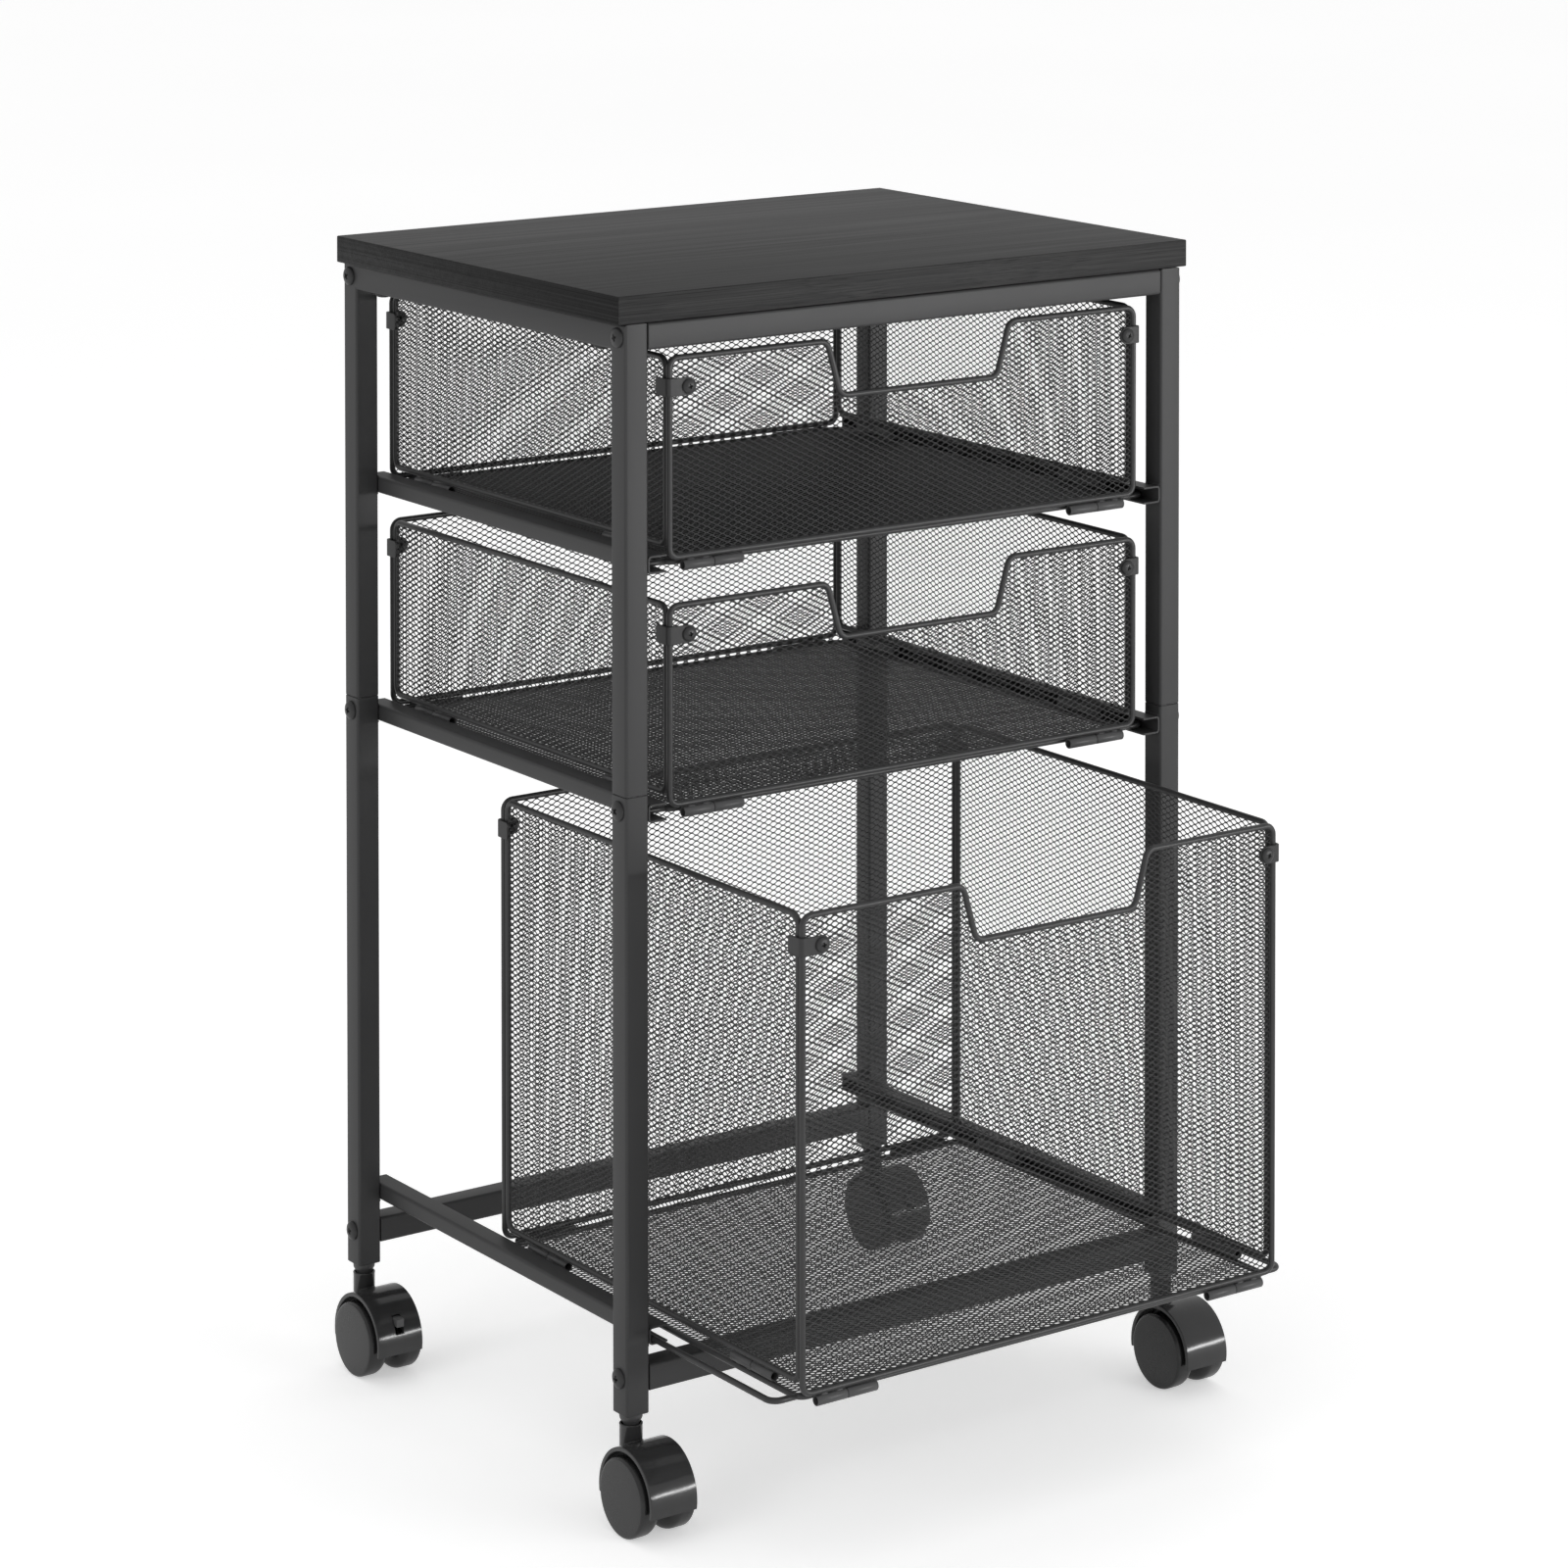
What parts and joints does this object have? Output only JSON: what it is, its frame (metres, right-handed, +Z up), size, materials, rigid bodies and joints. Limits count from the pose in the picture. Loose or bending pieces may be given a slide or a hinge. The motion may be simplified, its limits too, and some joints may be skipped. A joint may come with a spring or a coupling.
{
  "type": "mobile printer stand",
  "caption": "Wheeled steel-tube stand with a black wood-grain top, mesh drawers and a deep mesh file basket that slide out on side channels, and twin-wheel swivel casters.",
  "frame": {"origin": "on the floor, below the middle of the whole stand at rest, with the file basket pulled out 127.3 mm as modelled; the middle of the tube frame is 61.7 mm behind it, at y = 0.0617", "axes": "+Z up, -Y towards the front, where the drawers pull out, +X to the right of someone facing the front"},
  "size_m": [0.412, 0.4373, 0.6791],
  "materials": {
    "laminate": "black woodgrain laminate, matt",
    "frame_steel": "black powder coat, fine texture, satin",
    "basket_wire": "black coated wire and expanded mesh, satin",
    "caster_housing": "black, glossy",
    "caster_wheel": "black, satin gloss",
    "zinc_steel": "zinc plated, hidden inside the posts",
    "brake_lever": "dark grey, satin"
  },
  "bodies": {
    "frame": {"caster_stem_front_left": "zinc_steel", "caster_stem_front_right": "zinc_steel", "caster_stem_rear_left": "zinc_steel", "caster_stem_rear_right": "zinc_steel", "front_bottom_rail": "frame_steel", "front_top_rail": "frame_steel", "lower_side_frame_left": "frame_steel", "lower_side_frame_right": "frame_steel", "post_spigot_front_left": "zinc_steel", "post_spigot_front_right": "zinc_steel", "post_spigot_rear_left": "zinc_steel", "post_spigot_rear_right": "zinc_steel", "rear_bottom_rail": "frame_steel", "rear_top_rail": "frame_steel", "top_board": "laminate", "upper_drawer_rail_left": "frame_steel", "upper_drawer_rail_right": "frame_steel", "upper_side_frame_left": "frame_steel", "upper_side_frame_right": "frame_steel"},
    "upper_drawer": {"upper_drawer_base": "basket_wire", "upper_drawer_clip_front_left": "frame_steel", "upper_drawer_clip_front_right": "frame_steel", "upper_drawer_clip_rear_left": "frame_steel", "upper_drawer_clip_rear_right": "frame_steel", "upper_drawer_front_panel": "basket_wire", "upper_drawer_left_panel": "basket_wire", "upper_drawer_rear_panel": "basket_wire", "upper_drawer_right_panel": "basket_wire"},
    "middle_drawer": {"middle_drawer_base": "basket_wire", "middle_drawer_clip_front_left": "frame_steel", "middle_drawer_clip_front_right": "frame_steel", "middle_drawer_clip_rear_left": "frame_steel", "middle_drawer_clip_rear_right": "frame_steel", "middle_drawer_front_panel": "basket_wire", "middle_drawer_left_panel": "basket_wire", "middle_drawer_rear_panel": "basket_wire", "middle_drawer_right_panel": "basket_wire"},
    "file_basket": {"file_basket_base": "basket_wire", "file_basket_clip_front_left": "frame_steel", "file_basket_clip_front_right": "frame_steel", "file_basket_clip_rear_left": "frame_steel", "file_basket_clip_rear_right": "frame_steel", "file_basket_front_panel": "basket_wire", "file_basket_left_panel": "basket_wire", "file_basket_rear_panel": "basket_wire", "file_basket_right_panel": "basket_wire"},
    "caster_front_left": {"caster_hood_front_left": "caster_housing"},
    "wheel_front_left_left": {"caster_wheel_front_left_left": "caster_wheel"},
    "wheel_front_left_right": {"caster_wheel_front_left_right": "caster_wheel"},
    "caster_front_right": {"caster_hood_front_right": "caster_housing"},
    "wheel_front_right_left": {"caster_wheel_front_right_left": "caster_wheel"},
    "wheel_front_right_right": {"caster_wheel_front_right_right": "caster_wheel"},
    "caster_rear_left": {"caster_hood_rear_left": "caster_housing"},
    "wheel_rear_left_left": {"caster_wheel_rear_left_left": "caster_wheel"},
    "wheel_rear_left_right": {"caster_wheel_rear_left_right": "caster_wheel"},
    "caster_rear_right": {"caster_hood_rear_right": "caster_housing"},
    "wheel_rear_right_left": {"caster_wheel_rear_right_left": "caster_wheel"},
    "wheel_rear_right_right": {"caster_wheel_rear_right_right": "caster_wheel"},
    "brake_rear_left": {"brake_lever_rear_left": "brake_lever"},
    "brake_rear_right": {"brake_lever_rear_right": "brake_lever"}
  },
  "joints": [
    {"name": "upper_drawer_slide", "type": "slide", "parent": "frame", "child": "upper_drawer", "axis": [0, -1, 0], "range_m": [0, 0.23]},
    {"name": "middle_drawer_slide", "type": "slide", "parent": "frame", "child": "middle_drawer", "axis": [0, -1, 0], "range_m": [0, 0.23]},
    {"name": "file_basket_slide", "type": "slide", "parent": "frame", "child": "file_basket", "axis": [0, -1, 0], "range_m": [-0.1273, 0.1027]},
    {"name": "front_left_swivel", "type": "hinge", "parent": "frame", "child": "caster_front_left", "pos_m": [-0.188, -0.0856, 0.05], "axis": [0, 0, 1], "continuous": true},
    {"name": "front_left_left_wheel_spin", "type": "hinge", "parent": "caster_front_left", "child": "wheel_front_left_left", "pos_m": [-0.188, -0.1026, 0.0218], "axis": [1, 0, 0], "continuous": true},
    {"name": "front_left_right_wheel_spin", "type": "hinge", "parent": "caster_front_left", "child": "wheel_front_left_right", "pos_m": [-0.188, -0.1026, 0.0218], "axis": [1, 0, 0], "continuous": true},
    {"name": "front_right_swivel", "type": "hinge", "parent": "frame", "child": "caster_front_right", "pos_m": [0.188, -0.0856, 0.05], "axis": [0, 0, 1], "continuous": true},
    {"name": "front_right_left_wheel_spin", "type": "hinge", "parent": "caster_front_right", "child": "wheel_front_right_left", "pos_m": [0.188, -0.1026, 0.0218], "axis": [1, 0, 0], "continuous": true},
    {"name": "front_right_right_wheel_spin", "type": "hinge", "parent": "caster_front_right", "child": "wheel_front_right_right", "pos_m": [0.188, -0.1026, 0.0218], "axis": [1, 0, 0], "continuous": true},
    {"name": "rear_left_swivel", "type": "hinge", "parent": "frame", "child": "caster_rear_left", "pos_m": [-0.188, 0.209, 0.05], "axis": [0, 0, 1], "continuous": true},
    {"name": "rear_left_left_wheel_spin", "type": "hinge", "parent": "caster_rear_left", "child": "wheel_rear_left_left", "pos_m": [-0.188, 0.192, 0.0218], "axis": [1, 0, 0], "continuous": true},
    {"name": "rear_left_right_wheel_spin", "type": "hinge", "parent": "caster_rear_left", "child": "wheel_rear_left_right", "pos_m": [-0.188, 0.192, 0.0218], "axis": [1, 0, 0], "continuous": true},
    {"name": "rear_right_swivel", "type": "hinge", "parent": "frame", "child": "caster_rear_right", "pos_m": [0.188, 0.209, 0.05], "axis": [0, 0, 1], "continuous": true},
    {"name": "rear_right_left_wheel_spin", "type": "hinge", "parent": "caster_rear_right", "child": "wheel_rear_right_left", "pos_m": [0.188, 0.192, 0.0218], "axis": [1, 0, 0], "continuous": true},
    {"name": "rear_right_right_wheel_spin", "type": "hinge", "parent": "caster_rear_right", "child": "wheel_rear_right_right", "pos_m": [0.188, 0.192, 0.0218], "axis": [1, 0, 0], "continuous": true},
    {"name": "rear_left_brake", "type": "hinge", "parent": "caster_rear_left", "child": "brake_rear_left", "pos_m": [-0.188, 0.1745, 0.0357], "axis": [1, 0, 0], "range_deg": [0, 12]},
    {"name": "rear_right_brake", "type": "hinge", "parent": "caster_rear_right", "child": "brake_rear_right", "pos_m": [0.188, 0.1745, 0.0357], "axis": [1, 0, 0], "range_deg": [0, 12]}
  ]
}
